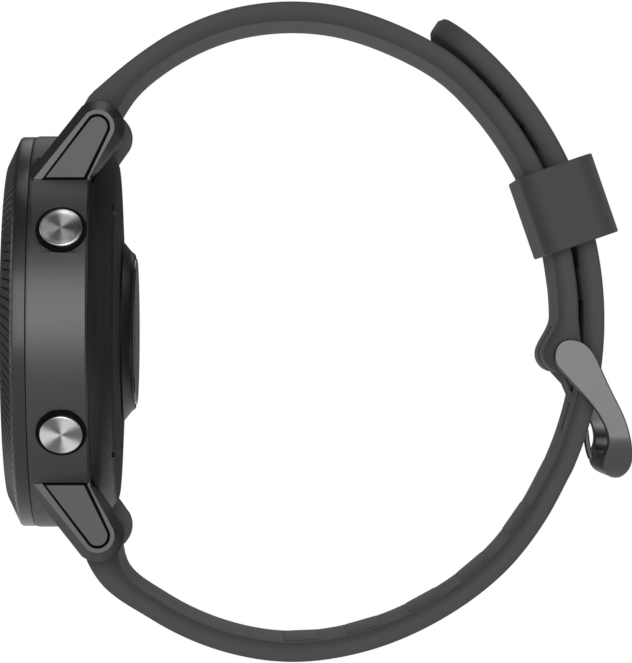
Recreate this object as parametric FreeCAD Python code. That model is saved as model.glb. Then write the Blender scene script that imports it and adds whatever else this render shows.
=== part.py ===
"""GPS running watch with its band closed.

Millimetres. The origin is the centre of the wrist opening. +X runs from the watch face to the
buckle, +Y to the 9 o'clock side and +Z to 12 o'clock. The case is round about the X axis.
"""
import FreeCAD, Part
import math
import os

Vector = FreeCAD.Vector
AXIS_X = Vector(1, 0, 0)
AXIS_Y = Vector(0, 1, 0)
AXIS_Z = Vector(0, 0, 1)
GAP = 0.05

# Case, as depths along X and radii about it
GLASS_FRONT = -40.2
BEZEL_FRONT = -40.16
CONE_BACK = -38.7
BEZEL_BACK = -37.0
CASE_BACK = -29.85
DOME_EDGE = -27.1
DOME_BACK = -26.6
BUMP_BACK = -25.1
LENS_BACK = -24.9
GLASS_R = 19.0
BEZEL_FRONT_R = 20.0
CASE_R = 23.4
CASE_INNER_R = 21.5
GASKET_R = 21.4
DOME_R = 19.9
BUMP_R = 10.6
LENS_R = 8.8

# Lugs and the spring bars that hold the strap
LUG_INNER = 11.2
LUG_OUTER = 15.2
LUG_BEVEL = 1.1
LUG_TIP_R = 3.1
BAR_X = -29.06
BAR_Z = 23.8
BAR_R = 0.9
BAR_TIP_R = 0.45
INLAY_DEPTH = 0.8
INLAY_GROOVE = 0.3

# Buttons, turned from 3 o'clock
SCREW_RADIUS = 19.5
BOSS_RADIUS = 20.1
BUTTON_TURNS = {"upper": 30.0, "lower": -30.0}
BUTTON_X = -33.0
BUTTON_R = 2.5
BUTTON_FACE = 24.0
TUBE_R = 2.95
TUBE_BORE_R = 2.58
STEM_R = 1.0

# Band
LOOP_X = -13.26
LOOP_Z = 1.35
UPPER_R = 39.45
LOWER_R = 42.5
STRAP_HALF = 1.15
STRAP_END_R = 1.9
STRAP_POCKET_R = 2.4
STRAP_LUG_WIDTH = 22.0
STRAP_BUCKLE_WIDTH = 20.0
TAPER_END_X = 15.0
FLEX_X = -6.5
SEAM_ANGLE = -24.0
SPLIT = 0.3
TIP_ANGLE = 55.7
TIP_CORNER_R = 6.0
RIB_HEIGHT = 0.18
RIB_LENGTH = 4.1
RIB_HALF_WIDTH = 8.3
RIB_PITCH = 7.7
FIRST_RIB = 13.8
HOLE_LENGTH = 3.4
USED_HOLE_LENGTH = 5.8
HOLE_WIDTH = 2.8
USED_HOLE_ANGLE = -14.6

# Keeper
KEEPER_ANGLE = 19.0
KEEPER_LENGTH = 9.75
KEEPER_IN_R = 37.0
KEEPER_OUT_R = 46.2
KEEPER_HALF_WIDTH = 12.0

# Buckle
PIN_X = 25.8
PIN_Z = -2.8
PIN_R = 0.75
ARM_INNER = 10.45
ARM_OUTER = 12.25
FRAME_CORNER_R = 5.4
PRONG_WIDTH = 2.0


def point(x, z, y=0.0):
    return Vector(x, y, z)


def save(name, shape):
    """Write one sub-part as parts/NAME.step."""
    shape.exportStep("parts/" + name + ".step")


def rod(x_from, x_to, radius, y=0.0, z=0.0):
    """A cylinder along X."""
    return Part.makeCylinder(radius, x_to - x_from, Vector(x_from, y, z), AXIS_X)


def ring(x_from, x_to, outer, inner, y=0.0, z=0.0):
    return rod(x_from, x_to, outer, y, z).cut(rod(x_from - 1, x_to + 1, inner, y, z))


def cross_rod(x, z, radius, half_length, y=0.0):
    """A cylinder along Y, centred on y."""
    return Part.makeCylinder(radius, 2 * half_length, Vector(x, y - half_length, z), AXIS_Y)


def block(x_from, x_to, y_from, y_to, z_from, z_to):
    size = (x_to - x_from, y_to - y_from, z_to - z_from)
    return Part.makeBox(*size, Vector(x_from, y_from, z_from))


def turned(profile):
    """Turn a closed outline of (x, radius) corners about the X axis."""
    wire = Part.makePolygon([point(x, r) for x, r in profile + profile[:1]])
    return Part.Face(wire).revolve(Vector(0, 0, 0), AXIS_X, 360)


def slab(outline, y_from, y_to):
    """Give a flat outline in the XZ plane a thickness along Y."""
    face = Part.Face(outline)
    face.translate(Vector(0, y_from, 0))
    return face.extrude(Vector(0, y_to - y_from, 0))


def mirrored(shape, normal):
    return shape.mirror(Vector(0, 0, 0), normal)


def four_corners(shape):
    """The shape and its mirror images across the case, as separate solids."""
    pair = [shape, mirrored(shape, AXIS_Y)]
    return pair + [mirrored(each, AXIS_Z) for each in pair]


def fused(shapes):
    return shapes[0].multiFuse(shapes[1:]).removeSplitter()


def button_place(shape, turn):
    """Move a shape made along +Z from the case's axis to a button's direction."""
    placed = shape.copy()
    placed.rotate(Vector(0, 0, 0), AXIS_X, 90.0 - turn)
    placed.translate(Vector(BUTTON_X, 0, 0))
    return placed


def button_rod(r_from, r_to, radius):
    return Part.makeCylinder(radius, r_to - r_from, Vector(0, 0, r_from), AXIS_Z)


# ---------------------------------------------------------------- case


def lug_outline(grow):
    """The lug's side outline, with its tip round the spring bar, grown outwards by grow."""
    front = math.radians(127)
    back = math.radians(-28)
    tip = LUG_TIP_R - LUG_BEVEL + grow
    start = point(BAR_X + tip * math.cos(front), BAR_Z + tip * math.sin(front))
    middle = point(BAR_X + tip * math.cos(0.85), BAR_Z + tip * math.sin(0.85))
    end = point(BAR_X + tip * math.cos(back), BAR_Z + tip * math.sin(back))
    foot_front = point(-36.6 - 0.3 * grow, 17.6 + grow)
    foot_back = point(-29.95, 16.0)
    knee_back = point(-29.95 + 0.5 * grow, 18.0)
    corners = [end, knee_back, foot_back, point(-36.6, 15.0), foot_front, start]
    sides = [Part.LineSegment(a, b).toShape() for a, b in zip(corners, corners[1:])]
    return Part.Wire([Part.Arc(start, middle, end).toShape()] + sides)


def lug():
    """One lug at 12 o'clock on the 9 o'clock side, with a bevelled outer face."""
    shoulder = LUG_OUTER - 1.4
    body = slab(lug_outline(LUG_BEVEL), LUG_INNER, shoulder)
    low = lug_outline(LUG_BEVEL)
    low.translate(Vector(0, shoulder, 0))
    high = lug_outline(0.0)
    high.translate(Vector(0, LUG_OUTER, 0))
    return body.fuse(Part.makeLoft([low, high], True, True))


def inlay_outline(grow):
    """The inlay's trapezoid with a round tip, grown outwards by grow."""
    tip = 1.2 + grow
    front = math.radians(132)
    back = math.radians(-25)
    start = point(BAR_X + tip * math.cos(front), BAR_Z + tip * math.sin(front))
    middle = point(BAR_X + tip * math.cos(0.9), BAR_Z + tip * math.sin(0.9))
    end = point(BAR_X + tip * math.cos(back), BAR_Z + tip * math.sin(back))
    foot_back = point(-30.6 + grow, 17.9 - grow)
    foot_front = point(-35.1 - 1.6 * grow, 17.9 - grow)
    corners = [end, foot_back, foot_front, start]
    sides = [Part.LineSegment(a, b).toShape() for a, b in zip(corners, corners[1:])]
    return Part.Wire([Part.Arc(start, middle, end).toShape()] + sides)


def lug_inlay():
    return slab(inlay_outline(0.0), LUG_OUTER - INLAY_DEPTH + GAP, LUG_OUTER - 0.02)


def mid_case():
    shell = turned([
        (BEZEL_BACK + GAP, CASE_INNER_R), (BEZEL_BACK + GAP, CASE_R - 0.1),
        (BEZEL_BACK + 0.5, CASE_R), (CASE_BACK - 0.3, CASE_R),
        (CASE_BACK, CASE_R - 0.3), (CASE_BACK, CASE_INNER_R),
    ])
    bore = rod(BEZEL_BACK - 1, CASE_BACK + 8, CASE_INNER_R)
    lugs = [each.cut(bore) for each in four_corners(lug())]
    body = fused([shell] + lugs + boss_posts())
    for side in (1, -1):
        body = body.cut(cross_rod(BAR_X, side * BAR_Z, STRAP_POCKET_R, LUG_INNER))
        body = body.cut(cross_rod(BAR_X, side * BAR_Z, BAR_TIP_R + 0.02, LUG_OUTER - 2.0))
    pocket = slab(inlay_outline(INLAY_GROOVE), LUG_OUTER - INLAY_DEPTH, LUG_OUTER + 1)
    for each in four_corners(pocket):
        body = body.cut(each)
    for turn in BUTTON_TURNS.values():
        body = body.cut(button_place(button_rod(18.0, 26.0, TUBE_R + 0.02), turn))
    for y, z in screw_places():
        body = body.cut(rod(-33.0, CASE_BACK + 1, 0.62, y, z))
    return body


def screw_places(radius=SCREW_RADIUS):
    """Four places on the diagonals of the back cover."""
    reach = radius / math.sqrt(2)
    return [(y * reach, z * reach) for y in (-1, 1) for z in (-1, 1)]


def boss_posts():
    """Posts inside the wall that take the back cover's screws."""
    outside = rod(-40, -20, CASE_INNER_R + 0.5)
    return [rod(-34.4, CASE_BACK, 1.6, y, z).common(outside) for y, z in screw_places(BOSS_RADIUS)]


def bezel():
    body = turned([
        (BEZEL_FRONT, GLASS_R + GAP), (BEZEL_FRONT, BEZEL_FRONT_R), (CONE_BACK, CASE_R - 0.3),
        (CONE_BACK + 0.3, CASE_R - 0.1), (BEZEL_BACK, CASE_R - 0.1), (BEZEL_BACK, CASE_INNER_R),
        (-38.1, CASE_INNER_R - 0.5), (-38.1, 17.85), (-38.75, 17.85), (-38.75, GLASS_R + GAP),
    ])
    return body


def back_cover():
    shell = turned([
        (CASE_BACK + GAP, 0), (CASE_BACK + GAP, CASE_R - 0.35), (-28.9, CASE_R - 0.9),
        (-27.9, DOME_R + 1.3), (DOME_EDGE, DOME_R), (DOME_BACK, BUMP_R), (DOME_BACK, 0),
    ])
    hollow = turned([
        (CASE_BACK - 1, 0), (CASE_BACK - 1, 18.2), (-29.0, 18.2), (-28.0, 16.0), (-28.0, 0),
    ])
    body = shell.cut(hollow).cut(rod(-30, -25, 9.6))
    body = body.cut(ring(CASE_BACK - 1, CASE_BACK + 0.45, GASKET_R + GAP, GASKET_R - 0.55))
    for y, z in screw_places():
        body = body.cut(rod(-31, -25, 0.65, y, z))
        body = body.cut(rod(-28.75, -25, 0.95, y, z))
    for side in (1, -1):
        body = body.cut(cross_rod(BAR_X, side * BAR_Z, STRAP_POCKET_R, LUG_INNER + 0.4))
        for each in (1, -1):
            face = slab(lug_outline(LUG_BEVEL + GAP), LUG_INNER - 0.1, LUG_OUTER)
            face = face if each > 0 else mirrored(face, AXIS_Y)
            body = body.cut(face if side > 0 else mirrored(face, AXIS_Z))
    for y in contact_places():
        body = body.cut(rod(-29, -25, 0.75, y, -14.0))
    return body


def contact_places():
    return [(index - 1.5) * 2.6 for index in range(4)]


def charging_contacts():
    pads = [rod(-28.6, -26.85, 0.7, y, -14.0) for y in contact_places()]
    return Part.makeCompound(pads)


def sensor_housing():
    body = turned([
        (-28.0, 0), (-28.0, 9.5), (DOME_BACK + GAP, 9.5), (DOME_BACK + GAP, BUMP_R),
        (BUMP_BACK - 0.3, 9.4), (BUMP_BACK, 9.1), (BUMP_BACK, 0),
    ])
    body = body.cut(rod(-29, -25.9, 8.0))
    return body.cut(rod(-25.9, -24, LENS_R + 0.02))


def sensor_lens():
    return rod(-25.85, LENS_BACK, LENS_R)


def sensor_leds():
    chips = [block(-27.2, -26.5, y - 0.8, y + 0.8, z - 0.8, z + 0.8)
             for y, z in ((0, 0), (4.2, 0), (-4.2, 0), (0, 4.2), (0, -4.2))]
    return Part.makeCompound(chips)


def back_cover_screws():
    screws = []
    for y, z in screw_places():
        slot = block(-28.25, -27.9, y - 0.7, y + 0.7, z - 0.15, z + 0.15)
        head = rod(-28.7, -28.0, 0.85, y, z).cut(slot)
        screws.append(head.fuse(rod(-32.5, -28.7, 0.58, y, z)))
    return Part.makeCompound(screws)


def vibration_motor():
    """The coin motor's can, and its half-round weight on a short shaft."""
    centre = {"y": 0.0, "z": -15.4}
    can = rod(-34.6, -31.6, 3.9, **centre).cut(rod(-34.3, -31.9, 3.6, **centre))
    shaft = rod(-34.3, -31.9, 0.4, **centre)
    can = can.fuse(shaft)
    weight = ring(-34.0, -32.2, 3.3, 0.45, **centre)
    above = block(-35, -31, -4, 4, centre["z"] + 0.9, centre["z"] + 5)
    return can, weight.cut(above)


def inner_parts():
    """The parts stacked between the glass and the back cover, from front to back."""
    stack = {
        "front_glass": rod(GLASS_FRONT, -38.98, GLASS_R),
        "glass_gasket": ring(-38.95, -38.78, GLASS_R - 0.05, 17.9),
        "display_panel": rod(-38.7, -37.6, 16.9),
        "display_frame": rod(-38.7, -37.3, 17.6).cut(rod(-39, -37.55, 17.0)),
        "inner_frame": rod(-36.9, -35.8, 20.6).cut(block(-38, -35, -5, 5, 18.0, 19.0)),
        "main_board": rod(-35.6, -34.8, 20.4).cut(block(-38, -34, -5, 5, 18.6, 21)),
        "shield_can": block(-34.75, -33.5, -12, 1, 3, 13.5),
        "gps_antenna": block(-34.75, -33.6, 3, 12, 4, 13),
        "battery": block(-33.3, -30.0, -12, 12, -10.8, 10.8),
        "battery_foam_pad": block(-29.95, -29.4, -11, 11, -10, 10),
        "sensor_board": rod(-27.9, -27.3, 7.8),
        "back_cover_gasket": ring(CASE_BACK + GAP, CASE_BACK + 0.4, GASKET_R, GASKET_R - 0.5),
    }
    run = block(-37.2, -35.65, -4, 4, 18.2, 18.4)
    fold = block(-37.28, -37.1, -4, 4, 12.0, 18.4)
    stack["display_flex_cable"] = run.fuse(fold).removeSplitter()
    stack["shield_can"] = stack["shield_can"].cut(rod(-35, -33, 1, -3, 9))
    return stack


def button_parts(turn):
    """One button's cap on its stem, its tube, seal, clip and tact switch."""
    cap = button_rod(22.8, BUTTON_FACE, BUTTON_R)
    cap = cap.makeFillet(0.25, [edge for edge in cap.Edges if edge.BoundBox.ZMin > BUTTON_FACE - 0.1])
    cap = cap.fuse(button_rod(19.75, 22.8, STEM_R)).removeSplitter()
    tube = button_rod(20.9, CASE_R + 0.15, TUBE_R).cut(button_rod(22.05, 26, TUBE_BORE_R))
    tube = tube.cut(button_rod(20, 23, STEM_R + GAP)).cut(button_rod(21.2, 21.8, STEM_R + 0.5))
    seal = button_rod(21.25, 21.75, STEM_R + 0.45).cut(button_rod(21, 22, STEM_R + GAP))
    clip = button_rod(20.3, 20.6, STEM_R + 0.5).cut(button_rod(20, 21, STEM_R))
    switch = block(-1.6, 1.6, -1.75, 1.75, 16.6, 18.6).fuse(button_rod(18.6, 19.0, 0.8))
    return {
        "button": button_place(cap, turn),
        "button_tube": button_place(tube, turn),
        "button_seal": button_place(seal, turn),
        "button_clip": button_place(clip, turn),
        "tact_switch": button_place(switch, turn),
    }


# ---------------------------------------------------------------- band


def on_loop(radius, angle):
    """A point at an angle above +X on a circle round the band's centre."""
    turn = math.radians(angle)
    return point(LOOP_X + radius * math.cos(turn), LOOP_Z + radius * math.sin(turn))


def curve_through(points):
    curve = Part.BSplineCurve()
    curve.interpolate(points)
    return curve


def upper_centre():
    """The upper strap's middle line, from its spring bar to the buckle."""
    free = [(118.0, 30.3), (106.0, 32.6), (90.0, 35.45), (73.0, 37.65), (60.0, 38.65)]
    points = [point(BAR_X, BAR_Z), point(BAR_X + 0.05, BAR_Z + 2.2)]
    points += [on_loop(radius, angle) for angle, radius in free]
    points += [on_loop(UPPER_R, angle) for angle in range(48, -7, -6)]
    return curve_through(points)


def lower_centre():
    """The lower strap's middle line, from its spring bar to the free end."""
    free = [(-116.0, 33.2), (-105.0, 35.35), (-93.0, 37.6), (-81.0, 39.55), (-68.0, 40.85), (-56.0, 41.7)]
    points = [point(BAR_X, -BAR_Z), point(BAR_X + 0.35, -BAR_Z - 2.6)]
    points += [on_loop(radius, angle) for angle, radius in free]
    points += [on_loop(LOWER_R, angle) for angle in range(-41, 50, 8)]
    points.append(on_loop(LOWER_R, TIP_ANGLE))
    return curve_through(points)


def half_thickness(run):
    """Half the strap's thickness at a distance from the spring bar."""
    return STRAP_HALF + 0.95 * math.exp(-((run / 5.0) ** 2))


def ribbon(centre):
    """The side face of a strap along its middle line, thicker near the lug."""
    stations = 34
    length = centre.length()
    left = []
    right = []
    for index in range(stations + 1):
        run = length * (index / stations) ** 1.3
        at = centre.parameterAtDistance(run)
        here = centre.value(at)
        direction = centre.tangent(at)[0]
        across = Vector(-direction.z, 0, direction.x)
        half = half_thickness(run)
        left.append(here + across * half)
        right.append(here - across * half)
    edges = [curve_through(left).toShape(), Part.makeLine(left[-1], right[-1]),
             curve_through(right).toShape(), Part.makeLine(right[0], left[0])]
    return Part.Wire(Part.__sortEdges__(edges))


def band_width():
    """The space that the tapering band takes in plan."""
    wide = STRAP_LUG_WIDTH / 2
    narrow = STRAP_BUCKLE_WIDTH / 2
    half = [(-33, wide), (BAR_X, wide), (TAPER_END_X, narrow), (40, narrow)]
    corners = [Vector(x, y, -60) for x, y in half] + [Vector(x, -y, -60) for x, y in reversed(half)]
    return Part.Face(Part.makePolygon(corners + corners[:1])).extrude(Vector(0, 0, 120))


def strap_body(centre, side):
    """One whole strap with its round end and its bore for the spring bar."""
    body = slab(ribbon(centre), -12, 12)
    body = body.fuse(cross_rod(BAR_X, side * BAR_Z, STRAP_END_R, 12)).common(band_width())
    return body.cut(cross_rod(BAR_X, side * BAR_Z, BAR_R + GAP, 13))


def wall_across(angle, radius):
    """A thin wall across the strap, where two of its sections part."""
    wall = block(radius - 5, radius + 5, -15, 15, -SPLIT / 2, SPLIT / 2)
    wall.rotate(Vector(0, 0, 0), AXIS_Y, -angle)
    wall.translate(point(LOOP_X, LOOP_Z))
    return wall


def upper_strap_sections():
    """The upper strap's lug section and its buckle section, parted at the flex line."""
    body = strap_body(upper_centre(), 1)
    knuckle_x = PIN_X - 0.35
    knuckle = cross_rod(knuckle_x, PIN_Z + 0.1, 2.2, STRAP_BUCKLE_WIDTH / 2)
    body = body.fuse(knuckle).cut(block(20, 32, -12, 12, -12, -5.2))
    body = body.cut(cross_rod(PIN_X, PIN_Z, PIN_R + 0.02, 13))
    inside = cross_rod(LOOP_X, LOOP_Z, LOWER_R - STRAP_HALF - GAP, 14)
    body = body.common(inside)
    body = body.cut(block(PIN_X - 3.2, PIN_X + 4, -1.3, 1.3, -8, 0.6))
    body = body.cut(block(FLEX_X - SPLIT / 2, FLEX_X + SPLIT / 2, -15, 15, 30, 45))
    return sorted(body.Solids, key=lambda solid: solid.CenterOfMass.x)


def rib(at, along):
    """One raised block on the wrist side of the lower strap, at a place on its middle line."""
    half = RIB_LENGTH / 2
    body = block(-STRAP_HALF - RIB_HEIGHT, 0, -RIB_HALF_WIDTH, RIB_HALF_WIDTH, -half, half)
    body.rotate(Vector(0, 0, 0), AXIS_Y, -math.degrees(math.atan2(-along.x, along.z)))
    body.translate(at)
    return body


def prong_hole(angle, length):
    hole = block(36, 48, -HOLE_WIDTH / 2, HOLE_WIDTH / 2, -length / 2, length / 2)
    hole.rotate(Vector(0, 0, 0), AXIS_Y, -angle)
    hole.translate(point(LOOP_X, LOOP_Z))
    return hole


def lower_strap_sections():
    """The lower strap's lug section and its free end, parted beneath the buckle's end bar."""
    body = strap_body(lower_centre(), -1)
    centre = lower_centre()
    for index in (0, 1, 2, 3, 7, 8, 9, 10, 11):
        place = centre.parameterAtDistance(centre.length() - FIRST_RIB - RIB_PITCH * index)
        body = body.fuse(rib(centre.value(place), centre.tangent(place)[0]))
    for index in range(4):
        angle = TIP_ANGLE - math.degrees((FIRST_RIB + RIB_PITCH * index) / LOWER_R)
        body = body.cut(prong_hole(angle, HOLE_LENGTH))
    body = body.cut(prong_hole(USED_HOLE_ANGLE, USED_HOLE_LENGTH))
    body = body.cut(wall_across(SEAM_ANGLE, LOWER_R))
    for corner in tip_corners():
        body = body.cut(corner)
    return sorted(body.Solids, key=lambda solid: solid.CenterOfMass.z)


def tip_corners():
    """What the round corners of the free end take away."""
    edge = STRAP_BUCKLE_WIDTH / 2
    corner = block(36, 48, edge - TIP_CORNER_R, edge + 1, -TIP_CORNER_R, 1)
    centre = Vector(35, edge - TIP_CORNER_R, -TIP_CORNER_R)
    corner = corner.cut(Part.makeCylinder(TIP_CORNER_R, 14, centre, AXIS_X))
    corner.rotate(Vector(0, 0, 0), AXIS_Y, -TIP_ANGLE)
    corner.translate(point(LOOP_X, LOOP_Z))
    return [corner, mirrored(corner, AXIS_Y)]


def keeper_loop():
    """A flat-walled band round both straps, hollow along their curve."""
    middle = (KEEPER_IN_R + KEEPER_OUT_R) / 2
    half = KEEPER_LENGTH / 2
    body = block(KEEPER_IN_R, KEEPER_OUT_R, -KEEPER_HALF_WIDTH, KEEPER_HALF_WIDTH, -half, half)
    long_edges = [edge for edge in body.Edges if abs(edge.BoundBox.ZLength - KEEPER_LENGTH) < 0.01]
    body = body.makeFillet(2.4, long_edges)
    body.rotate(Vector(0, 0, 0), AXIS_Y, -KEEPER_ANGLE)
    body.translate(point(LOOP_X, LOOP_Z))
    reach = STRAP_BUCKLE_WIDTH / 2 + 0.3
    outer = cross_rod(LOOP_X, LOOP_Z, LOWER_R + STRAP_HALF + 0.4, reach)
    inner = cross_rod(LOOP_X, LOOP_Z, UPPER_R - STRAP_HALF - 0.3, reach + 1)
    return body.cut(outer.cut(inner))


def arm_outline():
    """The buckle arm seen from the side, from its round head to the end bar."""
    head = [(24.75, -4.2), (24.35, -2.7), (25.1, -1.25), (26.6, -0.95), (28.0, -1.5)]
    outer = [(29.85, -4.4), (31.3, -7.5), (32.75, -10.6), (33.4, -13.2)]
    end = [(33.35, -15.9), (32.2, -17.2), (30.6, -16.8)]
    inner = [(30.1, -15.2), (30.6, -13.6), (29.6, -9.9), (27.0, -6.7)]
    curve = Part.BSplineCurve()
    curve.interpolate([point(x, z) for x, z in head + outer + end + inner], PeriodicFlag=True)
    return Part.Wire(curve.toShape())


def rounded_gate(half_width, bottom, corner):
    """A prism along X, wide across the buckle, with round corners at its lower end."""
    body = block(20, 36, -half_width, half_width, bottom, 3)
    low = [edge for edge in body.Edges if edge.BoundBox.ZMax < bottom + 0.1 and edge.BoundBox.XLength > 10]
    return body.makeFillet(corner, low)


def buckle_frame():
    """Two arms joined by an end bar, with round corners and blind holes for the spring bar."""
    whole = slab(arm_outline(), -ARM_OUTER, ARM_OUTER)
    whole = whole.common(rounded_gate(ARM_OUTER, -17.6, FRAME_CORNER_R))
    body = whole.cut(rounded_gate(ARM_INNER, -14.4, FRAME_CORNER_R - 1.8))
    return body.cut(cross_rod(PIN_X, PIN_Z, PIN_R + GAP, ARM_OUTER - 0.55))


def buckle_prong():
    """A bent tongue from its eye round the pin, through the hole, to the end bar."""
    eye = cross_rod(PIN_X, PIN_Z, 1.65, PRONG_WIDTH / 2)
    line = [(25.5, -4.0), (26.3, -6.0), (27.3, -8.3), (28.45, -10.4), (28.95, -12.6),
            (29.15, -14.0), (29.55, -15.3)]
    centre = curve_through([point(x, z) for x, z in line])
    steps = 12
    left = []
    right = []
    for index in range(steps + 1):
        at = centre.parameterAtDistance(centre.length() * index / steps)
        direction = centre.tangent(at)[0]
        across = Vector(-direction.z, 0, direction.x) * (0.42 - 0.012 * index)
        left.append(centre.value(at) + across)
        right.append(centre.value(at) - across)
    edges = [curve_through(left).toShape(), Part.makeLine(left[-1], right[-1]),
             curve_through(right).toShape(), Part.makeLine(right[0], left[0])]
    half = PRONG_WIDTH / 2
    tongue = slab(Part.Wire(Part.__sortEdges__(edges)), -half, half)
    return eye.fuse(tongue).removeSplitter().cut(cross_rod(PIN_X, PIN_Z, PIN_R + GAP, 3))


def spring_bar(x, z, radius, tip_radius, half_body, half_whole):
    return cross_rod(x, z, radius, half_body).fuse(cross_rod(x, z, tip_radius, half_whole))


def main():
    os.makedirs("parts", exist_ok=True)
    save("mid_case", mid_case())
    save("bezel", bezel())
    save("back_cover", back_cover())
    save("sensor_housing", sensor_housing())
    save("sensor_lens", sensor_lens())
    save("sensor_leds", sensor_leds())
    save("charging_contacts", charging_contacts())
    save("back_cover_screws", back_cover_screws())
    can, rotor = vibration_motor()
    save("vibration_motor_can", can)
    save("vibration_motor_rotor", rotor)
    for name, shape in inner_parts().items():
        save(name, shape)
    places = ("upper_near", "upper_far", "lower_near", "lower_far")
    far_upper, near_upper, far_lower, near_lower = four_corners(lug_inlay())
    for place, inlay in zip(places, (near_upper, far_upper, near_lower, far_lower)):
        save("lug_inlay_" + place, inlay)
    for place, turn in BUTTON_TURNS.items():
        for name, shape in button_parts(turn).items():
            save(name + "_" + place, shape)
    for place, side in (("upper", 1), ("lower", -1)):
        bar = spring_bar(BAR_X, side * BAR_Z, BAR_R, BAR_TIP_R, LUG_INNER - 0.1, LUG_OUTER - 2.1)
        save("spring_bar_" + place, bar)
    lug_section, buckle_section = upper_strap_sections()
    save("strap_upper_lug_section", lug_section)
    save("strap_upper_buckle_section", buckle_section)
    lug_section, free_end = lower_strap_sections()
    save("strap_lower_lug_section", lug_section)
    save("strap_lower_free_end", free_end)
    save("keeper_loop", keeper_loop())
    save("buckle_frame", buckle_frame())
    save("buckle_prong", buckle_prong())
    save("buckle_spring_bar", cross_rod(PIN_X, PIN_Z, PIN_R, ARM_OUTER - 0.65))


main()
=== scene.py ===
import math

import bmesh
import bpy
from mathutils import Matrix, Vector
from mathutils.geometry import interpolate_bezier


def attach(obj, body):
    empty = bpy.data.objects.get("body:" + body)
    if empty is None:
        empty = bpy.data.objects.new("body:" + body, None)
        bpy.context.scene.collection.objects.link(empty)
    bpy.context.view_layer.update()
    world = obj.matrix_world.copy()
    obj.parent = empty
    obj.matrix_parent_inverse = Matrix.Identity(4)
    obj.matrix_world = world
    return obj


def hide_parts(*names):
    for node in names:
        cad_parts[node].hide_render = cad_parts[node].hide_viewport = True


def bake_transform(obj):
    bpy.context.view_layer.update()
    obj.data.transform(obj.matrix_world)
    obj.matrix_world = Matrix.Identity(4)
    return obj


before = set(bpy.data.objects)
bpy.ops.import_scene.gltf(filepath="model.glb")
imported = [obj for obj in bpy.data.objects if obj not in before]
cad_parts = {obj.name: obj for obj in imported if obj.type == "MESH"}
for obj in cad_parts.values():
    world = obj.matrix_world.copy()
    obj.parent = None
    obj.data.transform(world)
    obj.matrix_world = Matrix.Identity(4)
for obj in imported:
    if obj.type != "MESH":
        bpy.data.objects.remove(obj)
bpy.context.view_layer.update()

# Lengths below are millimetres, and finished meshes are brought to metres.
MM = 0.001
LOOP_X, LOOP_Z = -13.26, 1.35
UPPER_R, LOWER_R = 39.45, 42.5
STRAP_HALF = 1.15
BAR_X, BAR_Z = -29.06, 23.8
STRAP_END_R = 2.05
LUG_HALF_WIDTH, BUCKLE_HALF_WIDTH = 11.0, 10.0
TAPER_END_X = 15.0
SEAM_ANGLE = -24.0
TIP_ANGLE = 55.7
TIP_CORNER_R = 6.0
RIB_PITCH, FIRST_RIB = 7.7, 13.8
RIB_LENGTH, RIB_HALF_WIDTH, RIB_HEIGHT = 4.1, 8.3, 0.18
USED_HOLE_ANGLE = -14.6
PIN_X, PIN_Z, PIN_R = 25.8, -2.8, 0.8
KNUCKLE_ANGLE, KNUCKLE_DISTANCE, KNUCKLE_R = -5.97, 38.92, 2.2
BUTTON_X, BUTTON_FACE = -33.0, 24.0
BUTTON_TURNS = {"upper": 30.0, "lower": -30.0}
GROOVES, STEPS_PER_GROOVE, GROOVE_DEPTH, GROOVE_SKEW = 120, 4, 0.2, 3.6
INLAY_GROOVE, INLAY_SINK = 0.29, 0.3
BAR_HOLE_R, HOLE_HALF_LENGTH = 0.96, 13
CAMERA_DISTANCE, VIEW_WIDTH = 500.0, 79.56
CAMERA_X, CAMERA_Z = -7.8, -0.78
FLOOR_R, FLOOR_Z = 320.0, -71.0


# ------------------------------------------------------------------ shader maths


class Socket:
    """A shader value whose Python operators add Math nodes."""

    def __init__(self, finish, socket):
        self.finish = finish
        self.socket = socket

    def math(self, operation, *others):
        values = dict(enumerate([self, *others]))
        return self.finish.node("ShaderNodeMath", {"operation": operation}, values)

    def __add__(self, other):
        return self.math("ADD", other)

    __radd__ = __add__

    def __mul__(self, other):
        return self.math("MULTIPLY", other)

    __rmul__ = __mul__

    def __sub__(self, other):
        return self.math("SUBTRACT", other)

    def __rsub__(self, other):
        return self.finish.node("ShaderNodeMath", {"operation": "SUBTRACT"}, {0: other, 1: self})

    def ramp(self, low, high, start=0.0, end=1.0):
        """Runs smoothly from start to end as this value goes from low to high."""
        settings = {"interpolation_type": "SMOOTHSTEP"}
        sockets = {"Value": self, "From Min": low, "From Max": high, "To Min": start, "To Max": end}
        return self.finish.node("ShaderNodeMapRange", settings, sockets)


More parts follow.
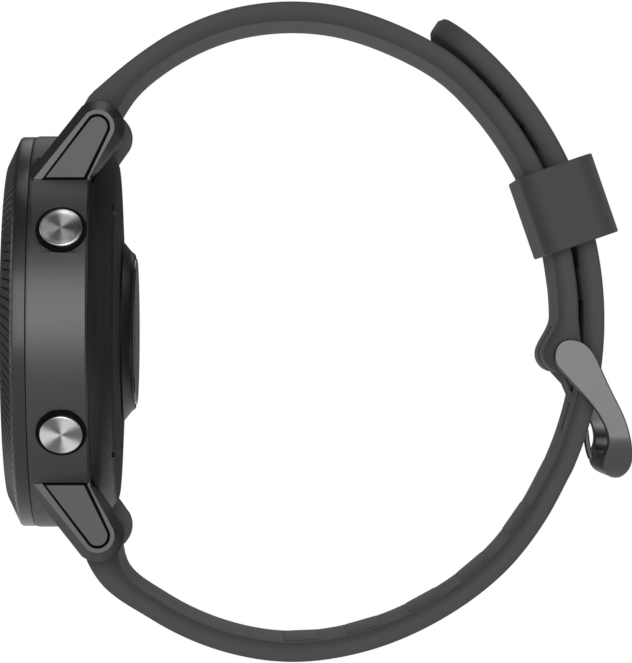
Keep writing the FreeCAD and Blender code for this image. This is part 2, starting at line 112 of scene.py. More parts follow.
class Finish:
    """A material, its Principled shader and the nodes that feed it."""

    def __init__(self, name, colour, metallic=0.0, roughness=0.5, **uniform):
        self.material = bpy.data.materials.new(name)
        self.material.use_nodes = True
        self.tree = self.material.node_tree
        self.shader = self.tree.nodes["Principled BSDF"]
        self.colour = colour
        self.shader.inputs["Base Color"].default_value = (*colour, 1.0)
        self.shader.inputs["Metallic"].default_value = metallic
        self.shader.inputs["Roughness"].default_value = roughness
        for key, value in uniform.items():
            self.shader.inputs[key.replace("_", " ").title().replace("Ior", "IOR")].default_value = value
        self.material.diffuse_color = (*colour, 1.0)
        self.place = self.node("ShaderNodeTexCoord", {}, {}, "Object")

    def node(self, kind, settings, sockets, output=0):
        """Any node: its type, its settings, then the values or links of its sockets."""
        made = self.tree.nodes.new(kind)
        for key, value in settings.items():
            setattr(made, key, value)
        for key, value in sockets.items():
            if isinstance(value, Socket):
                self.tree.links.new(value.socket, made.inputs[key])
            else:
                made.inputs[key].default_value = value
        return Socket(self, made.outputs[output])

    def feed(self, name, value):
        self.tree.links.new(value.socket, self.shader.inputs[name])

    def noise(self, size, detail=3.0, stretch=(1, 1, 1)):
        """Noise whose grains are about size millimetres across."""
        scale = tuple(each / (size * MM) for each in stretch)
        sockets = {0: self.place, 1: scale}
        place = self.node("ShaderNodeVectorMath", {"operation": "MULTIPLY"}, sockets, "Vector")
        return self.node("ShaderNodeTexNoise", {}, {"Vector": place, "Scale": 1.0, "Detail": detail}, "Fac")

    def along(self, direction, start=(0, 0, 0)):
        """Distance along a direction from a start, in millimetres."""
        sockets = {0: self.place, 1: start}
        offset = self.node("ShaderNodeVectorMath", {"operation": "SUBTRACT"}, sockets, "Vector")
        sockets = {0: offset, 1: tuple(each / MM for each in direction)}
        return self.node("ShaderNodeVectorMath", {"operation": "DOT_PRODUCT"}, sockets, "Value")

    def shade(self, mask, darker, lighter):
        """Base colour from darker to lighter, as shares of the finish's own colour."""
        low, high = [(*(min(1.0, each * share) for each in self.colour), 1.0) for share in (darker, lighter)]
        # A Mix node's colours are its sockets 6 and 7, and its colour result is output 2.
        sockets = {0: mask, 6: low, 7: high}
        self.feed("Base Color", self.node("ShaderNodeMix", {"data_type": "RGBA"}, sockets, 2))

    def bump(self, height, depth):
        """Relief of depth millimetres."""
        sockets = {"Height": height, "Distance": depth * MM, "Strength": 1.0}
        self.feed("Normal", self.node("ShaderNodeBump", {}, sockets, "Normal"))


def grained(name, colour, metallic, roughness, grain=0.12, depth=0.004, mottle=0.12, **uniform):
    """A moulded, cast or blasted surface: fine relief, soft mottling and uneven gloss."""
    finish = Finish(name, colour, metallic, roughness, **uniform)
    fine = finish.noise(grain)
    broad = finish.noise(grain * 40, 2.0)
    finish.shade(broad * 0.6 + fine * 0.4, 1 - mottle, 1 + mottle)
    finish.feed("Roughness", (broad - 0.5) * 0.12 + (fine - 0.5) * 0.08 + roughness)
    finish.bump(fine, depth)
    return finish.material


def silicone(name, colour):
    """Matte silicone: a fine moulded texture, faint rub marks and a soft sheen."""
    finish = Finish(name, colour, 0.0, 0.62, specular_ior_level=0.32, sheen_weight=0.1, sheen_roughness=0.5)
    fine = finish.noise(0.09, 4.0)
    cloudy = finish.noise(7.0, 3.0)
    rubbed = finish.noise(1.4, 4.0, (1, 0.25, 1)).ramp(0.55, 0.75)
    finish.shade(cloudy * 0.7 + fine * 0.3, 0.86, 1.14)
    finish.feed("Roughness", (cloudy - 0.5) * 0.14 + (fine - 0.5) * 0.08 - rubbed * 0.05 + 0.62)
    finish.bump(fine + rubbed * 0.15, 0.002)
    return finish.material


def blasted_metal(name, colour, roughness, depth=0.0025):
    """Satin coated metal with a bead-blasted grain."""
    finish = Finish(name, colour, 0.9, roughness, specular_ior_level=0.5)
    fine = finish.noise(0.07, 4.0)
    cloudy = finish.noise(6.0, 2.0)
    finish.shade(cloudy * 0.6 + fine * 0.4, 0.92, 1.08)
    finish.feed("Roughness", (cloudy - 0.5) * 0.08 + (fine - 0.5) * 0.1 + roughness)
    finish.bump(fine, depth)
    return finish.material


def polished_metal(name, colour, roughness):
    """Polished coated metal with faint lengthwise polishing lines."""
    finish = Finish(name, colour, 1.0, roughness)
    lines = finish.noise(0.05, 2.0, (0.15, 1.0, 0.1))
    cloudy = finish.noise(4.0, 2.0)
    finish.shade(cloudy, 0.97, 1.03)
    finish.feed("Roughness", (lines - 0.5) * 0.06 + roughness)
    finish.bump(lines, 0.0003)
    return finish.material


def spun_metal(name, turn):
    """A lathe-turned face: concentric rings, and painted highlight streaks that fan out in three lobes."""
    finish = Finish(name, (0.62, 0.62, 0.63), 1.0, 0.3)
    axis = button_axis(turn)
    centre = (axis * BUTTON_FACE + Vector((BUTTON_X, 0, 0))) * MM
    across = Vector((1, 0, 0))
    up = across.cross(axis)
    u = finish.along(across, centre)
    v = finish.along(up, centre)
    radius = (u * u + v * v).math("SQRT")
    angle = v.math("ARCTAN2", u)
    wobble = finish.noise(0.6, 2.0)
    # Painted highlight: three bright streaks through the centre, set in the base colour by angle about the
    # button's axis.
    painted_streak_lobes = (angle * 3.0 + wobble * 0.5 + math.pi).math("COSINE")
    rings = (radius * (2 * math.pi / 0.11)).math("SINE")
    scatter = finish.noise(0.05, 2.0)
    middle = radius.ramp(0.0, 0.5)
    # Base colour: the painted highlight streaks, faded out at the centre, with the turned rings and a random
    # scatter in tone.
    light = painted_streak_lobes * 0.5 * middle + 0.5 + rings * 0.04 + (scatter - 0.5) * 0.1
    finish.shade(light.ramp(0.0, 1.0), 0.3, 1.3)
    finish.feed("Roughness", 0.3 - rings * 0.04)
    finish.bump(rings, 0.0022)
    return finish.material


def button_axis(turn):
    angle = math.radians(turn)
    return Vector((0, -math.cos(angle), math.sin(angle)))


# ------------------------------------------------------------------ mesh helpers


def smooth(obj, angle=32.0):
    """Smooth shading with edges sharper than the angle kept crisp."""
    obj.data.shade_smooth()
    obj.data.set_sharp_from_angle(angle=math.radians(angle))
    return obj


def new_piece(name, bm, material, in_mm=True):
    """An object from a bmesh, with its doubles merged."""
    if in_mm:
        bmesh.ops.scale(bm, vec=(MM, MM, MM), verts=bm.verts)
    bmesh.ops.remove_doubles(bm, verts=bm.verts, dist=1e-7)
    mesh = bpy.data.meshes.new(name)
    bm.to_mesh(mesh)
    bm.free()
    obj = bpy.data.objects.new(name, mesh)
    bpy.context.scene.collection.objects.link(obj)
    obj.data.materials.append(material)
    return smooth(obj)


def outward(bm):
    bmesh.ops.remove_doubles(bm, verts=bm.verts, dist=1e-4)
    bmesh.ops.recalc_face_normals(bm, faces=bm.faces)


def placed(obj, body, slot, *nodes):
    """Ride on a body and stand for CAD nodes. The slot is not used."""
    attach(obj, body)
    if nodes:
        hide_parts(*nodes)
    return obj


def spun(profile, steps, axis=Vector((1, 0, 0)), across=Vector((0, 0, 1))):
    """Turn an open outline of (height, radius) points about an axis through the origin."""
    bm = bmesh.new()
    points = [bm.verts.new(axis * height + across * radius) for height, radius in profile]
    edges = [bm.edges.new(pair) for pair in zip(points, points[1:])]
    bmesh.ops.spin(bm, geom=points + edges, cent=(0, 0, 0), axis=axis, angle=2 * math.pi,
                   steps=steps, use_merge=True)
    outward(bm)
    return bm


def arc(centre, radius, start, end, steps):
    """Points on an arc, as (x, y) pairs, from start to end degrees."""
    turns = [math.radians(start + (end - start) * i / steps) for i in range(steps + 1)]
    return [(centre[0] + radius * math.cos(t), centre[1] + radius * math.sin(t)) for t in turns]


def apply_modifiers(obj):
    """Make what the modifiers show the object's own mesh."""
    shown = obj.evaluated_get(bpy.context.evaluated_depsgraph_get())
    mesh = bpy.data.meshes.new_from_object(shown)
    obj.modifiers.clear()
    obj.data = mesh
    return obj


def combine(obj, tool_bm, operation):
    """Join a tool's shape to an object, or cut it away."""
    tool = new_piece("tool", tool_bm, obj.data.materials[0])
    boolean = obj.modifiers.new("shape", "BOOLEAN")
    boolean.operation = operation
    boolean.solver = "EXACT"
    boolean.object = tool
    apply_modifiers(obj)
    bpy.data.objects.remove(tool)
    return smooth(obj)


def bevelled(obj, width, clamped):
    """Eases the edges that carry a bevel weight."""
    bevel = obj.modifiers.new("edges", "BEVEL")
    bevel.width = width * MM
    bevel.segments = 3
    bevel.limit_method = "WEIGHT"
    bevel.use_clamp_overlap = clamped


def refined(node, name, material, slot, body, bevel, clamped=True):
    """A finished copy of a CAD node: merged, flat faces joined, and its edges eased."""
    bm = bmesh.new()
    bm.from_mesh(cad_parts[node].data)
    bmesh.ops.remove_doubles(bm, verts=bm.verts, dist=1e-6)
    bmesh.ops.dissolve_limit(bm, angle_limit=math.radians(0.6), verts=bm.verts, edges=bm.edges)
    convex = bm.edges.layers.float.new("bevel_weight_edge")
    for edge in bm.edges:
        edge[convex] = float(len(edge.link_faces) == 2 and edge.calc_face_angle_signed() > math.radians(35))
    obj = smooth(new_piece(name, bm, material, in_mm=False), 40)
    bevelled(obj, bevel, clamped)
    weighted = obj.modifiers.new("faces", "WEIGHTED_NORMAL")
    weighted.keep_sharp = True
    weighted.weight = 100
    apply_modifiers(obj)
    return placed(obj, body, slot, node)


def box_at(size, matrix, bevel):
    """A block with eased edges, placed by a matrix."""
    bm = bmesh.new()
    bmesh.ops.create_cube(bm, size=1.0)
    bmesh.ops.scale(bm, vec=size, verts=bm.verts)
    bmesh.ops.bevel(bm, geom=bm.edges[:], offset=bevel, segments=3, profile=0.5,
                    affect="EDGES", material=-1)
    bmesh.ops.transform(bm, matrix=matrix, verts=bm.verts)
    return bm


def joined(parts):
    """Several bmeshes as one."""
    whole = bmesh.new()
    for part in parts:
        mesh = bpy.data.meshes.new("part")
        part.to_mesh(mesh)
        part.free()
        whole.from_mesh(mesh)
        bpy.data.meshes.remove(mesh)
    return whole


def cross_pin(x, z, radius, half_length):
    """A closed cylinder along Y."""
    bm = bmesh.new()
    turn = Matrix.Translation((x, 0, z)) @ Matrix.Rotation(math.pi / 2, 4, "X")
    bmesh.ops.create_cone(bm, cap_ends=True, segments=48, radius1=radius, radius2=radius,
                          depth=2 * half_length, matrix=turn)
    return bm


# ------------------------------------------------------------------ finishes

strap_finish = silicone("strap_silicone", (0.05, 0.05, 0.0515))
keeper_finish = silicone("keeper_silicone", (0.044, 0.044, 0.0455))
case_finish = blasted_metal("case_gunmetal", (0.078, 0.078, 0.08), 0.4)
inlay_finish = blasted_metal("inlay_grey", (0.07, 0.07, 0.072), 0.45)
buckle_finish = polished_metal("buckle_gunmetal", (0.1, 0.1, 0.102), 0.3)
prong_finish = polished_metal("prong_steel", (0.07, 0.07, 0.071), 0.3)
bar_finish = polished_metal("bar_steel", (0.5, 0.5, 0.5), 0.3)
bezel_finish = grained("bezel_gloss_black", (0.016, 0.016, 0.017), 0.2, 0.3, 0.2, 0.0006,
                       coat_weight=0.25, coat_roughness=0.2)
glass_finish = grained("display_glass", (0.006, 0.006, 0.008), 0.0, 0.05, 0.5, 0.0001,
                       coat_weight=1.0, coat_roughness=0.02)
cover_finish = grained("cover_plastic", (0.008, 0.008, 0.0085), 0.0, 0.42, 0.1, 0.001,
                       specular_ior_level=0.35)
# Near-black and nearly unlit: painted shade for the gaps round the buttons and the grooves round the lug
# inlays; the button tubes take it too.
painted_shade_finish = grained("recess_black", (0.002, 0.002, 0.002), 0.0, 0.8, specular_ior_level=0.1)
sensor_finish = grained("sensor_gloss_black", (0.008, 0.008, 0.008), 0.0, 0.35, 0.3, 0.0005,
                        specular_ior_level=0.35)
screw_finish = polished_metal("screw_black", (0.12, 0.12, 0.12), 0.35)


# ------------------------------------------------------------------ watch case


def bezel():
    """The gloss ring, with swirl grooves cut across its cone."""
    steps = GROOVES * STEPS_PER_GROOVE
    front, back = (-40.16, 20.0), (-38.7, 23.1)
    rows = 8
    cone = [tuple(a + (b - a) * i / rows for a, b in zip(front, back)) for i in range(rows + 1)]
    lip = [(-38.75, 17.85), (-38.75, 19.02), (-40.1, 19.02), (-40.16, 19.12), (-40.16, 19.9)]
    side = [(-38.55, 23.24), (-38.35, 23.3), (-37.08, 23.3), (-37.0, 23.22)]
    inside = [(-37.0, 21.5), (-38.1, 21.0), (-38.1, 17.85), (-38.75, 17.85)]
    bm = spun(lip + cone + side + inside, steps)
    columns = (0.0, 0.33, 1.5, 2.67)
    normal = Vector((back[1] - front[1], front[0] - back[0])).normalized()
    for vert in bm.verts:
        radius = math.hypot(vert.co.y, vert.co.z)
        share = (radius - front[1]) / (back[1] - front[1])
        on_cone = 0.04 < share < 0.97 and vert.co.x < -38.6
        on_cone = on_cone and abs(vert.co.x - (front[0] + (back[0] - front[0]) * share)) < 0.02
        if on_cone:
            index = round(math.atan2(vert.co.z, vert.co.y) / (2 * math.pi) * steps)
            groove, column = divmod(index, STEPS_PER_GROOVE)
            depth = GROOVE_DEPTH if column == 0 else 0.0
            angle = math.radians(groove * 360 / GROOVES + columns[column] + GROOVE_SKEW * share)
            radius += normal.y * depth
            vert.co = (vert.co.x + normal.x * depth, radius * math.cos(angle), radius * math.sin(angle))
    obj = new_piece("bezel_ring", bm, bezel_finish)
    return placed(smooth(obj, 25), "case", "bezel_gloss_black", "bezel")


def front_glass():
    edge = arc((-40.05, 18.84), 0.15, 180, 90, 5)
    profile = [(-40.2, 0.0), (-40.2, 9.0), (-40.2, 18.0)] + edge + [(-38.98, 18.99), (-38.98, 0.0)]
    obj = new_piece("watch_glass", spun(profile, 160), glass_finish)
    return placed(obj, "case", "display_glass", "front_glass")


def sensor():
    """The pulse sensor's bump, its pale lens and the dark windows under it."""
    flank = [(-28.0, 9.5), (-26.55, 9.5), (-26.55, 10.6), (-26.4, 10.62)]
    shoulder = [(-25.6, 9.62)] + arc((-25.4, 9.1), 0.3, 75, 0, 6)
    seat = [(-25.1, 8.84), (-25.9, 8.82), (-25.9, 8.0), (-28.0, 8.0), (-28.0, 9.5)]
    obj = new_piece("sensor_bump", spun(flank + shoulder + seat, 160), sensor_finish)
    placed(obj, "case", "sensor_gloss_black", "sensor_housing")
    underside = [(-25.85, 0.0), (-25.85, 8.8), (-25.2, 8.8)]
    dome = arc((-25.05, 8.62), 0.13, 80, 10, 4) + [(-24.9, 8.2), (-24.9, 0.0)]
    lens = new_piece("sensor_glass", spun(underside + dome, 128), lens_finish())
    placed(lens, "case", "sensor_glass", "sensor_lens")


def lens_finish():
    """Pale tinted glass with five dark sensor windows showing through."""
    finish = Finish("sensor_glass", (0.2, 0.205, 0.215), 0.0, 0.06, coat_weight=1.0, coat_roughness=0.02)
    y = finish.along((0, 1, 0))
    z = finish.along((0, 0, 1))
    radius = (y * y + z * z).math("SQRT")
    ring = radius.ramp(6.6, 6.9) * radius.ramp(7.3, 7.0)
    windows = radius.ramp(1.5, 1.3)
    for cy, cz in ((4.2, 0), (-4.2, 0), (0, 4.2), (0, -4.2)):
        dy, dz = y - cy, z - cz
        windows = windows.math("MAXIMUM", (dy * dy + dz * dz).math("SQRT").ramp(1.35, 1.15))
    rim = radius.ramp(7.9, 8.2)
    dark = windows.math("MAXIMUM", rim).math("MAXIMUM", ring * 0.6)
    cloudy = finish.noise(1.5, 2.0)
    finish.shade(1.0 - dark * 0.92 - cloudy * 0.06, 0.05, 1.0)
    finish.feed("Roughness", cloudy * 0.04 + 0.04)
    return finish.material


def buttons():
    """Turned metal caps with a raised rim, each in a recess lined with a near-black ring of painted shade.
    """
    for place, turn in BUTTON_TURNS.items():
        axis = button_axis(turn)
        across = Vector((1, 0, 0))
        face = [(23.9, 0.0), (23.91, 0.8), (23.94, 1.6), (23.97, 2.14)]
        rim = [(24.0, 2.22), (24.0, 2.3)] + arc((23.8, 2.3), 0.2, 0, 90, 5)
        cap = face + rim + [(23.4, 2.5), (22.9, 2.5), (22.8, 2.4), (22.8, 1.0), (19.75, 1.0), (19.75, 0.0)]
        bm = spun(cap, 96, axis, across)
        bmesh.ops.translate(bm, vec=(BUTTON_X, 0, 0), verts=bm.verts)
        obj = new_piece("button_cap_" + place, bm, spun_metal("spun_steel_" + place, turn))
        placed(obj, place + "_button", "spun_steel", "button_" + place)
        # The ring in the gap round the cap is near-black: painted shade.
        lip = [(23.3, 2.62), (23.54, 2.7), (23.55, 2.84), (23.4, 2.93)]
        ring = [(21.0, 2.62)] + lip + [(21.0, 2.93), (21.0, 2.62)]
        bm = spun(ring, 96, axis, across)
        bmesh.ops.translate(bm, vec=(BUTTON_X, 0, 0), verts=bm.verts)
        liner = new_piece("button_recess_" + place, bm, painted_shade_finish)
        placed(liner, "case", "recess_black")


def lug_inlays():
    """A grey inlay in each lug, and in the groove round it a near-black bed of painted shade."""
    for corner in ("upper_near", "upper_far", "lower_near", "lower_far"):
        node = "lug_inlay_" + corner
        refined(node, "inlay_" + corner, inlay_finish, "inlay_grey", "case", 0.05)
        # The bed: the inlay's outline grown across the groove and set back, coloured as painted shade.
        sink = INLAY_SINK * MM * (1 if corner.endswith("near") else -1)
        bm = bmesh.new()
        bm.from_mesh(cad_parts[node].data)
        bmesh.ops.remove_doubles(bm, verts=bm.verts, dist=1e-6)
        walls = {vert: [face.normal.copy() for face in vert.link_faces if abs(face.normal.y) < 0.3]
                 for vert in bm.verts}
        for vert, normals in walls.items():
            pairs = [(a, b) for a in normals for b in normals]
            a, b = max(pairs, key=lambda pair: (pair[0] - pair[1]).length)
            vert.co += (a + b) * (INLAY_GROOVE * MM / (1 + a.dot(b))) + Vector((0, sink, 0))
        placed(new_piece("inlay_bed_" + corner, bm, painted_shade_finish, in_mm=False), "case", "recess_black")


# ------------------------------------------------------------------ straps


def on_loop(radius, angle):
    turn = math.radians(angle)
    return Vector((LOOP_X + radius * math.cos(turn), 0, LOOP_Z + radius * math.sin(turn)))


def outward_on_loop(angle):
    return (on_loop(1, angle) - on_loop(0, angle)).normalized()


def smooth_line(points, spacing=0.7):
    """Evenly spaced points on a smooth curve through the given points."""
    chords = [(b - a).length for a, b in zip(points, points[1:])]
    slopes = []
    for i in range(len(points)):
        before = (points[i] - points[i - 1]) / chords[i - 1] if i else None
        after = (points[i + 1] - points[i]) / chords[i] if i < len(chords) else None
        if before is None or after is None:
            slopes.append(before or after)
        else:
            slopes.append((before * chords[i] + after * chords[i - 1]) / (chords[i - 1] + chords[i]))
    fine = []
    for i, chord in enumerate(chords):
        reach = chord / 3
        leaving = points[i] + slopes[i] * reach
        arriving = points[i + 1] - slopes[i + 1] * reach
        fine += interpolate_bezier(points[i], leaving, arriving, points[i + 1], 60)[:-1]
    fine.append(points[-1])
    line, since = [fine[0]], 0.0
    for a, b in zip(fine, fine[1:]):
        since += (b - a).length
        if since >= spacing:
            line.append(b)
            since = 0.0
    line.append(fine[-1])
    return line


def upper_line():
    free = [(118.0, 30.3), (106.0, 32.6), (90.0, 35.45), (73.0, 37.65), (60.0, 38.65)]
    points = [Vector((BAR_X, 0, BAR_Z)), Vector((BAR_X + 0.05, 0, BAR_Z + 2.2))]
    points += [on_loop(radius, angle) for angle, radius in free]
    return smooth_line(points + [on_loop(UPPER_R, angle) for angle in range(48, 5, -6)])


def lower_line():
    free = [(-116.0, 33.2), (-105.0, 35.35), (-93.0, 37.6), (-81.0, 39.55), (-68.0, 40.85), (-56.0, 41.7)]
    points = [Vector((BAR_X, 0, -BAR_Z)), Vector((BAR_X + 0.35, 0, -BAR_Z - 2.6))]
    points += [on_loop(radius, angle) for angle, radius in free]
    points += [on_loop(LOWER_R, angle) for angle in range(-41, -30, 8)]
    return smooth_line(points + [on_loop(LOWER_R, SEAM_ANGLE)])


def half_width(x):
    share = min(1.0, max(0.0, (x - BAR_X) / (TAPER_END_X - BAR_X)))
    return LUG_HALF_WIDTH + (BUCKLE_HALF_WIDTH - LUG_HALF_WIDTH) * share - 0.02


def station(point, outward_to, outer, inner, width):
    return {"at": point, "out": outward_to, "outer": outer, "inner": inner, "width": width}


def line_stations(line, side):
    """Stations along a strap's middle line, with a round end about the spring bar."""
    stations = []
    start = (line[1] - line[0]).normalized()
    out = Vector((-start.z, 0, start.x)) * side
    for i in range(9):
        back = STRAP_END_R * math.cos(math.radians(3 + 87 * i / 8))
        half = math.sqrt(STRAP_END_R**2 - back**2)
        stations.append(station(line[0] - start * back, out, half, half, half_width(line[0].x)))
    run = 0.0
    for i in range(1, len(line)):
        run += (line[i] - line[i - 1]).length
        ahead = line[min(i + 1, len(line) - 1)] - line[i - 1]
        direction = ahead.normalized()
        out = Vector((-direction.z, 0, direction.x)) * side
        half = STRAP_HALF + 0.95 * math.exp(-((run / 5.0) ** 2))
        stations.append(station(line[i], out, half, half, half_width(line[i].x)))
    return stations


def section(place):
    """The strap's outline across its width: eased outer edge, and a flank that steps in below."""
    outer, inner, width = place["outer"], place["inner"], place["width"]
    thick = outer + inner
    ease = min(1.0, thick / 1.6)
    side = [(width * 0.5, outer), (width - 1.2 * ease, outer)]
    side += [(width - 0.3 * ease + 0.3 * ease * math.sin(t), outer - 0.3 * ease * (1 - math.cos(t)))
             for t in (math.radians(each) for each in (0, 22, 45, 68, 90))]
    bow = thick * 0.62 / math.sin(math.radians(52))
    side += [(width - bow * (1 - math.cos(t)), outer - thick * 0.38 - bow * math.sin(t))
             for t in (math.radians(each) for each in (0, 9, 18, 27, 36, 45, 51))]
    side += [(width - bow * 0.385 - 0.09, -inner), (width * 0.5, -inner)]
    loop = [(0.0, outer)] + side + [(0.0, -inner)] + [(-y, n) for y, n in reversed(side)]
    return [place["at"] + place["out"] * n + Vector((0, y, 0)) for y, n in loop]


def swept(stations):
    """A closed solid extruded from station to station, capped at both ends."""
    bm = bmesh.new()
    first = [bm.verts.new(point) for point in section(stations[0])]
    edges = [bm.edges.new((first[i], first[(i + 1) % len(first)])) for i in range(len(first))]
    bm.faces.new(first)
    ring = first
    for place in stations[1:]:
        made = bmesh.ops.extrude_edge_only(bm, edges=edges)["geom"]
        edges = [item for item in made if isinstance(item, bmesh.types.BMEdge) and item.verts[0] not in ring
                 and item.verts[1] not in ring]
        # A dict, not a set, so that the vertices keep their order.
        fresh = {vert: None for edge in edges for vert in edge.verts}
        beside = {}
        for vert in fresh:
            link = next(e for e in vert.link_edges if e.other_vert(vert) in ring)
            beside[link.other_vert(vert)] = vert
        ring = [beside[vert] for vert in ring]
        for vert, point in zip(ring, section(place)):
            vert.co = point
    bm.faces.new(ring)
    outward(bm)
    return bm


def strap_hole(angle, length):
    """A round-cornered slot through the strap."""
    bm = bmesh.new()
    bmesh.ops.create_cube(bm, size=1.0)
    bmesh.ops.scale(bm, vec=(6.0, 2.6, length), verts=bm.verts)
    through = [e for e in bm.edges if abs(e.verts[0].co.x - e.verts[1].co.x) > 1]
    bmesh.ops.bevel(bm, geom=through, offset=1.0, segments=5, profile=0.5, affect="EDGES", material=-1)
    turn = Matrix.Translation(on_loop(LOWER_R, angle)) @ Matrix.Rotation(math.radians(-angle), 4, "Y")
    bmesh.ops.transform(bm, matrix=turn, verts=bm.verts)
    return bm


def knuckle_stations():
    """The buckle end of the upper strap: it swells on the wrist side and ends round the pin."""
    stations = []
    for i in range(40):
        angle = 5.0 + (KNUCKLE_ANGLE - 3.2 - 5.0) * (i / 39) ** 0.85
        run = math.radians(angle - KNUCKLE_ANGLE) * KNUCKLE_DISTANCE
        if run > 0:
            swell = 1 - min(1.0, run / 4.6)
            swell = swell * swell * (3 - 2 * swell)
            outer = UPPER_R + STRAP_HALF + 0.5 * swell
            inner = UPPER_R - STRAP_HALF - (UPPER_R - STRAP_HALF - KNUCKLE_DISTANCE + KNUCKLE_R) * swell
        else:
            chord = math.sqrt(max(0.01, KNUCKLE_R**2 - run**2))
            outer, inner = KNUCKLE_DISTANCE + chord, KNUCKLE_DISTANCE - chord
        out = outward_on_loop(angle)
        middle = (outer + inner) / 2
        half = (outer - inner) / 2
        stations.append(station(on_loop(middle, angle), out, half, half, half_width(26.0)))
    return stations


def upper_strap():
    """The upper strap, curved from its lug to the buckle."""
    bm = swept(line_stations(upper_line(), 1) + knuckle_stations())
    obj = new_piece("upper_strap_band", bm, strap_finish)
    slot = box_at((7.2, 2.7, 7.6), Matrix.Translation((PIN_X + 0.4, 0, PIN_Z - 0.4)), 0.3)
    bar_hole = cross_pin(BAR_X, BAR_Z, BAR_HOLE_R, HOLE_HALF_LENGTH)
    pin_hole = cross_pin(PIN_X, PIN_Z, PIN_R, HOLE_HALF_LENGTH)
    for tool in (bar_hole, pin_hole, slot):
        combine(obj, tool, "DIFFERENCE")
    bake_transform(obj)
    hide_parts("strap_upper_lug_section", "strap_upper_buckle_section")


def free_end_stations():
    """The lower strap past the buckle, narrowing and thinning at its round tip."""
    stations = []
    length = math.radians(TIP_ANGLE - SEAM_ANGLE) * LOWER_R
    count = 120
    for i in range(count + 1):
        left = length - length * i / count
        angle = SEAM_ANGLE + (TIP_ANGLE - SEAM_ANGLE) * i / count
        out = outward_on_loop(angle)
        narrow = max(0.0, TIP_CORNER_R - left)
        width = half_width(20.0) - TIP_CORNER_R + math.sqrt(TIP_CORNER_R**2 - narrow**2)
        thin = max(0.0, 0.9 - left) / 0.9
        half = STRAP_HALF * math.sqrt(1 - 0.72 * thin * thin)
        stations.append(station(on_loop(LOWER_R, angle), out, half, half, width))
    return stations


def rib(at, out):
    """A raised block on the wrist side, at a place on the strap's middle line."""
    turn = Matrix((out, (0, 1, 0), (-out.z, 0, out.x))).transposed().to_4x4()
    centre = at - out * (STRAP_HALF + RIB_HEIGHT - 0.5)
    return box_at((1.0, 2 * RIB_HALF_WIDTH, RIB_LENGTH), Matrix.Translation(centre) @ turn, 0.14)


def rib_angle(index):
    return TIP_ANGLE - math.degrees((FIRST_RIB + RIB_PITCH * index) / LOWER_R)


def free_end():
    obj = new_piece("lower_strap_end_band", swept(free_end_stations()), strap_finish)
    angles = [rib_angle(index) for index in range(4)]
    combine(obj, joined([rib(on_loop(LOWER_R, each), outward_on_loop(each)) for each in angles]), "UNION")
    holes = [strap_hole(each, 3.6) for each in angles] + [strap_hole(USED_HOLE_ANGLE, 5.9)]
    combine(obj, joined(holes), "DIFFERENCE")
    placed(obj, "upper_strap_end", "strap_silicone", "strap_lower_free_end")


def lower_strap():
    """The lower strap from its lug to beneath the buckle's end bar, with ribs inside."""
    stations = line_stations(lower_line(), -1)
    stations[-1]["out"] = outward_on_loop(SEAM_ANGLE)
    obj = new_piece("lower_strap_band", swept(stations), strap_finish)
    ribs = []
    run = math.radians(TIP_ANGLE - SEAM_ANGLE) * LOWER_R
    wanted = [FIRST_RIB + RIB_PITCH * index for index in (7, 8, 9, 10, 11)]
    for place, before in zip(reversed(stations[:-1]), reversed(stations)):
        run += (place["at"] - before["at"]).length
        if wanted and run > wanted[0] - 0.35:
            ribs.append(rib(place["at"], place["out"]))
            wanted.pop(0)
    combine(obj, joined(ribs), "UNION")
    combine(obj, cross_pin(BAR_X, -BAR_Z, BAR_HOLE_R, HOLE_HALF_LENGTH), "DIFFERENCE")
    placed(obj, "lower_strap", "strap_silicone", "strap_lower_lug_section")


# ------------------------------------------------------------------ carried parts


def carried_finishes():
    """Finishes of the parts that keep their CAD shape, most of them inside the case."""
    steel = polished_metal("steel_sheet", (0.55, 0.55, 0.56), 0.32)
    board = grained("circuit_board", (0.01, 0.09, 0.035), 0.0, 0.4, 0.4, 0.01, 0.3)
    rubber = grained("seal_rubber", (0.015, 0.015, 0.015), 0.0, 0.7)
    plastic = grained("black_plastic", (0.02, 0.02, 0.02), 0.0, 0.5)
    gold = polished_metal("contact_gold", (0.75, 0.55, 0.25), 0.25)
    display = grained("display_black", (0.004, 0.004, 0.006), 0.0, 0.15)
    rotor = grained("rotor_weight", (0.25, 0.25, 0.26), 0.9, 0.4)
    table = {
        "glass_gasket": rubber, "back_cover_gasket": rubber, "button_seal_upper": rubber,
        "button_seal_lower": rubber, "display_panel": display,
        "display_frame": plastic, "inner_frame": plastic, "main_board": board, "sensor_board": board,
        "display_flex_cable": grained("flex_film", (0.3, 0.15, 0.03), 0.0, 0.35), "shield_can": steel,
        "gps_antenna": grained("antenna_ceramic", (0.5, 0.45, 0.36), 0.0, 0.35),
        "battery": grained("battery_foil", (0.5, 0.51, 0.53), 0.8, 0.4, 0.6, 0.02),
        "battery_foam_pad": grained("foam", (0.07, 0.07, 0.07), 0.0, 0.9, 0.4, 0.08),
        "vibration_motor_can": steel, "vibration_motor_rotor": rotor,
        "tact_switch_upper": steel, "tact_switch_lower": steel, "button_clip_upper": steel,
        "button_clip_lower": steel, "button_tube_upper": painted_shade_finish, "button_tube_lower": painted_shade_finish,
        "back_cover_screws": screw_finish, "sensor_leds": grained("led_resin", (0.5, 0.55, 0.4), 0.0, 0.2),
        "charging_contacts": gold, "spring_bar_upper": bar_finish, "spring_bar_lower": bar_finish,
        "buckle_spring_bar": bar_finish,
    }
    for node, material in table.items():
        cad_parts[node].data.materials.clear()
        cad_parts[node].data.materials.append(material)


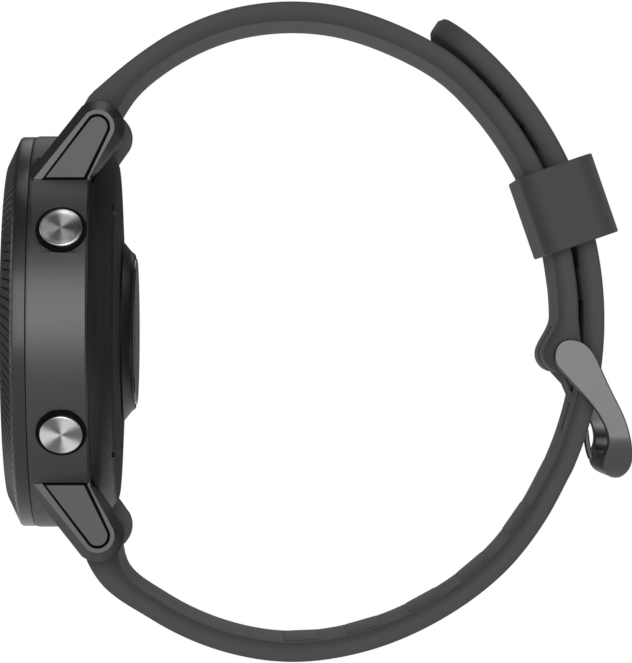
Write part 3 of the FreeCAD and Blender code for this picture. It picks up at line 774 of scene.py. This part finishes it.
def camera():
    data = bpy.data.cameras.new("camera")
    data.sensor_width = 36.0
    data.lens = data.sensor_width * CAMERA_DISTANCE / VIEW_WIDTH
    data.shift_x = 0.0543
    data.shift_y = 0.0098
    data.clip_start = 0.01
    obj = bpy.data.objects.new("camera", data)
    obj.location = (CAMERA_X * MM, -CAMERA_DISTANCE * MM, CAMERA_Z * MM)
    obj.rotation_euler = (math.radians(90), 0, 0)
    bpy.context.scene.collection.objects.link(obj)
    bpy.context.scene.camera = obj


def soft_light(name, place, size, power):
    """A square soft box aimed at the watch."""
    data = bpy.data.lights.new(name, "AREA")
    data.size = size
    data.energy = power
    obj = bpy.data.objects.new(name, data)
    obj.location = place
    obj.rotation_euler = (-Vector(place)).to_track_quat("-Z", "Y").to_euler()
    bpy.context.scene.collection.objects.link(obj)


def surround():
    """White to the camera. To everything else it is dim, and brighter from the front."""
    world = bpy.data.worlds.new("surround")
    world.use_nodes = True
    tree = world.node_tree
    path = tree.nodes.new("ShaderNodeLightPath")
    seen = tree.nodes.new("ShaderNodeMix")
    seen.data_type = "FLOAT"
    direction = tree.nodes.new("ShaderNodeTexCoord")
    parts = tree.nodes.new("ShaderNodeSeparateXYZ")
    front = tree.nodes.new("ShaderNodeMapRange")
    front.interpolation_type = "SMOOTHSTEP"
    for key, value in (("From Min", -0.45), ("From Max", -0.78), ("To Min", 0.08), ("To Max", 0.75)):
        front.inputs[key].default_value = value
    tree.links.new(direction.outputs["Generated"], parts.inputs["Vector"])
    tree.links.new(parts.outputs["Y"], front.inputs["Value"])
    tree.links.new(front.outputs[0], seen.inputs["A"])
    seen.inputs["B"].default_value = 1.0
    tree.links.new(path.outputs["Is Camera Ray"], seen.inputs["Factor"])
    background = tree.nodes["Background"]
    background.inputs["Color"].default_value = (1, 1, 1, 1)
    tree.links.new(seen.outputs[0], background.inputs["Strength"])
    bpy.context.scene.world = world
    bpy.context.scene.view_settings.view_transform = "Standard"


def studio():
    """A pale floor, a white surround and soft boxes."""
    surround()
    bm = bmesh.new()
    bmesh.ops.create_circle(bm, cap_ends=True, segments=128, radius=FLOOR_R)
    bmesh.ops.translate(bm, vec=(0, 0, FLOOR_Z), verts=bm.verts)
    paper = grained("floor_paper", (0.9, 0.9, 0.9), 0.0, 0.9, 0.5, 0.002, 0.01,
                    emission_color=(1, 1, 1, 1), emission_strength=0.25)
    new_piece("floor", bm, paper)
    soft_light("key", (-0.1, -0.92, 0.2), 0.7, 4.0)
    soft_light("top", (0.1, 0.1, 0.95), 0.6, 1.6)
    soft_light("left", (-0.9, 0.2, 0.12), 0.6, 1.6)
    soft_light("right", (0.9, 0.3, 0.25), 0.6, 1.4)
    soft_light("back", (0.1, 0.8, 0.7), 0.6, 0.8)


camera()
studio()
carried_finishes()
refined("mid_case", "case_middle", case_finish, "case_gunmetal", "case", 0.1)
refined("back_cover", "case_back", cover_finish, "cover_plastic", "case", 0.06)
refined("keeper_loop", "keeper_band", keeper_finish, "keeper_silicone", "keeper", 0.25)
refined("buckle_frame", "buckle_bow", buckle_finish, "buckle_gunmetal", "buckle", 0.15, clamped=False)
refined("buckle_prong", "buckle_tongue", prong_finish, "prong_steel", "prong", 0.12)
lug_inlays()
bezel()
front_glass()
sensor()
buttons()
upper_strap()
free_end()
lower_strap()
